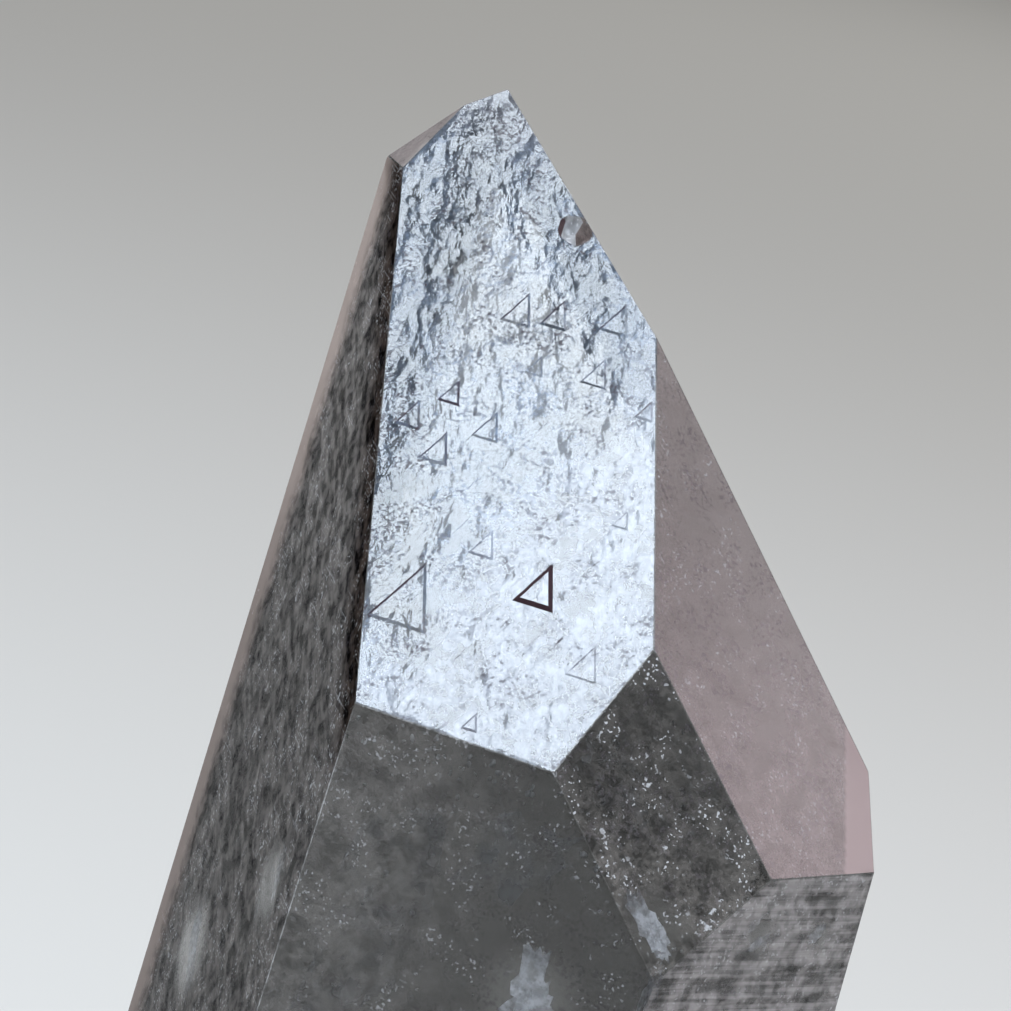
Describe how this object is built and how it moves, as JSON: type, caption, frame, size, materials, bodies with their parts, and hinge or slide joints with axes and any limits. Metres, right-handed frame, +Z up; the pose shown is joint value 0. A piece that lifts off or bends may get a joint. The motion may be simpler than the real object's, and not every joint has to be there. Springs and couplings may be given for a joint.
{
  "type": "quartz crystal point",
  "caption": "Upright clear quartz crystal point with ledged prism sides, a lopsided faceted tip and raised growth triangles on the widest face, sawn flat below.",
  "frame": {"origin": "middle of the sawn bottom, at the centre of the bounding box", "axes": "+Z up the crystal's long axis to the tip, -Y out of the side below the widest tip face"},
  "size_m": [0.0388, 0.032, 0.078],
  "materials": {
    "quartz": "natural crystal faces, part polished and part finely etched, faintly smoky and see-through"
  },
  "bodies": {
    "root": {"quartz_crystal": "quartz"}
  },
  "joints": []
}
